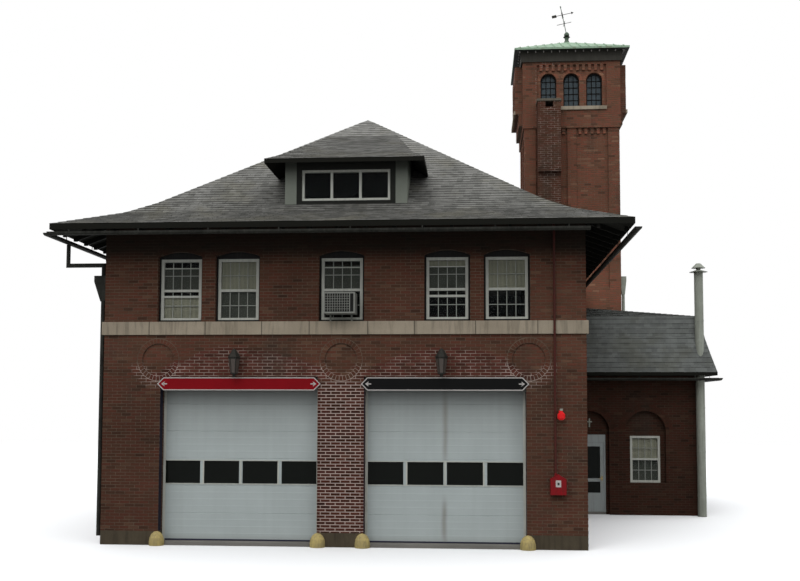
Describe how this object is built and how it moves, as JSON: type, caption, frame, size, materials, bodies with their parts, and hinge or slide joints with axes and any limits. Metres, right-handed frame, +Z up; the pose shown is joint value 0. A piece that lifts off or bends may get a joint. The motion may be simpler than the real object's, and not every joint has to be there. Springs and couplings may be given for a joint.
{
  "type": "fire station building",
  "caption": "Brick fire station with vehicle bays under a flared hipped roof, a dormer, a side wing and a square lookout tower with a copper cap and weather vane.",
  "frame": {"origin": "on the ground, in the middle of the main block's plan", "axes": "+X to the right seen from the street, +Y from the street front to the back, +Z up"},
  "size_m": [15.88, 17.1, 16.2735],
  "materials": {
    "brick": "rough",
    "limestone": "rough",
    "concrete": "rough",
    "timber_floor": "matt",
    "roof_shingles": "rough",
    "green_trim": "matt paint",
    "dark_trim": "matt paint",
    "white_paint": "satin paint",
    "window_glass": "clear",
    "copper_patina": "weathered",
    "galvanised": "weathered",
    "iron": "weathered",
    "sign_paint": "satin paint",
    "yellow_paint": "worn paint",
    "red_paint": "worn paint",
    "beige_plastic": "matt",
    "brass": "satin"
  },
  "bodies": {
    "building": {"air_conditioner": "beige_plastic", "alarm_box": "red_paint", "back_wall": "brick", "bay_door_glass": "window_glass", "bay_door_left": "white_paint", "bay_door_right": "white_paint", "belt_course": "limestone", "chimney": "brick", "chimney_cap": "limestone", "compass_arms": "iron", "dormer_roof": "roof_shingles", "dormer_walls": "green_trim", "dormer_window": "white_paint", "entrance_frame": "white_paint", "exhaust_duct": "galvanised", "front_piers": "brick", "front_spandrel": "brick", "front_upper_wall": "brick", "ground_floor": "concrete", "gutters": "galvanised", "left_downspout": "galvanised", "left_wall": "brick", "main_roof": "roof_shingles", "pier_bases": "concrete", "rafter_tails": "green_trim", "red_lamp": "red_paint", "right_wall": "brick", "sign_boards": "sign_paint", "tower_belfry": "brick", "tower_corbels": "brick", "tower_downspout": "galvanised", "tower_finial": "copper_patina", "tower_frieze": "dark_trim", "tower_roof": "copper_patina", "tower_shaft": "brick", "tower_side_bays": "brick", "tower_sills": "limestone", "tower_windows": "dark_trim", "upper_floors": "timber_floor", "wall_lanterns": "iron", "wheel_guards": "yellow_paint", "window_glass": "window_glass", "window_sashes": "white_paint", "window_surrounds": "dark_trim", "wing_back_wall": "brick", "wing_roof": "roof_shingles", "wing_side_wall": "brick", "wing_wall_left_of_door": "brick", "wing_wall_over_door": "brick", "wing_wall_right_of_door": "brick"},
    "entrance_door": {"entrance_door": "white_paint", "entrance_door_glass": "window_glass", "entrance_door_handle": "brass"},
    "weather_vane": {"weather_vane": "iron"}
  },
  "joints": [
    {"name": "entrance_door_hinge", "type": "hinge", "parent": "building", "child": "entrance_door", "pos_m": [5.6175, -0.3, 1], "axis": [0, 0, -1], "range_deg": [0, 100]},
    {"name": "weather_vane_spin", "type": "hinge", "parent": "building", "child": "weather_vane", "pos_m": [5.92, 4.18, 15.29], "axis": [-0.1994, 0, 0.9799], "continuous": true}
  ]
}
